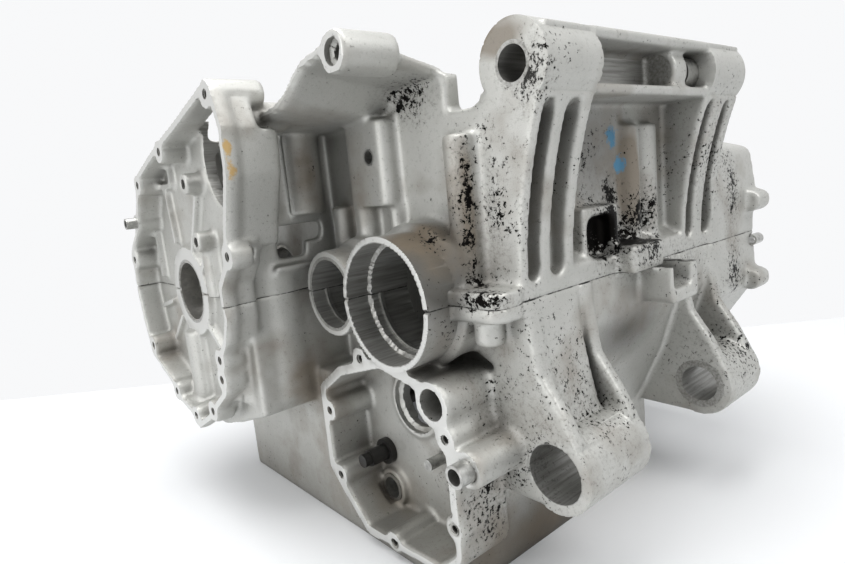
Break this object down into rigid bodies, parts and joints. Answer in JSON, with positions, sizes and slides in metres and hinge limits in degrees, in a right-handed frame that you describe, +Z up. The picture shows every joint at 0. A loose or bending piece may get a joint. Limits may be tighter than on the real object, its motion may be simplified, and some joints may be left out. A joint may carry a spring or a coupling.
{
  "type": "engine crankcase",
  "caption": "Horizontally split crankcase of an inline engine with a built-in gearbox: two bolted castings with pins, shells, dowels and rear mounting arms.",
  "frame": {"origin": "middle of the bounding box at the sump face, on which the case stands", "axes": "+X to the right side of the engine along the crank, +Y to the front of the engine, +Z up"},
  "size_m": [0.339, 0.3488, 0.2725],
  "materials": {
    "cast_aluminium": "rough cast, blasted",
    "bearing_metal": "satin",
    "black_steel": "black oxide, oiled",
    "plated_steel": "plated",
    "bare_steel": "ground"
  },
  "bodies": {
    "root": {"upper_case": "cast_aluminium", "lower_case": "cast_aluminium", "main_shells_upper": "bearing_metal", "main_shells_lower": "bearing_metal", "output_half_ring": "bare_steel", "input_half_ring": "bare_steel", "main_bolts": "black_steel", "main_washers": "bare_steel", "case_bolts_m8": "plated_steel", "case_bolts_m6": "plated_steel", "split_dowels": "bare_steel", "left_cover_dowel": "bare_steel", "right_cover_dowels": "bare_steel", "sleeve_dowel": "bare_steel", "spring_pin": "black_steel", "locating_pin": "bare_steel", "shaft_bush": "bearing_metal", "mount_adjuster": "bare_steel", "thread_insert": "bare_steel", "gallery_plug": "bare_steel", "deck_dowels": "bare_steel"}
  },
  "joints": []
}
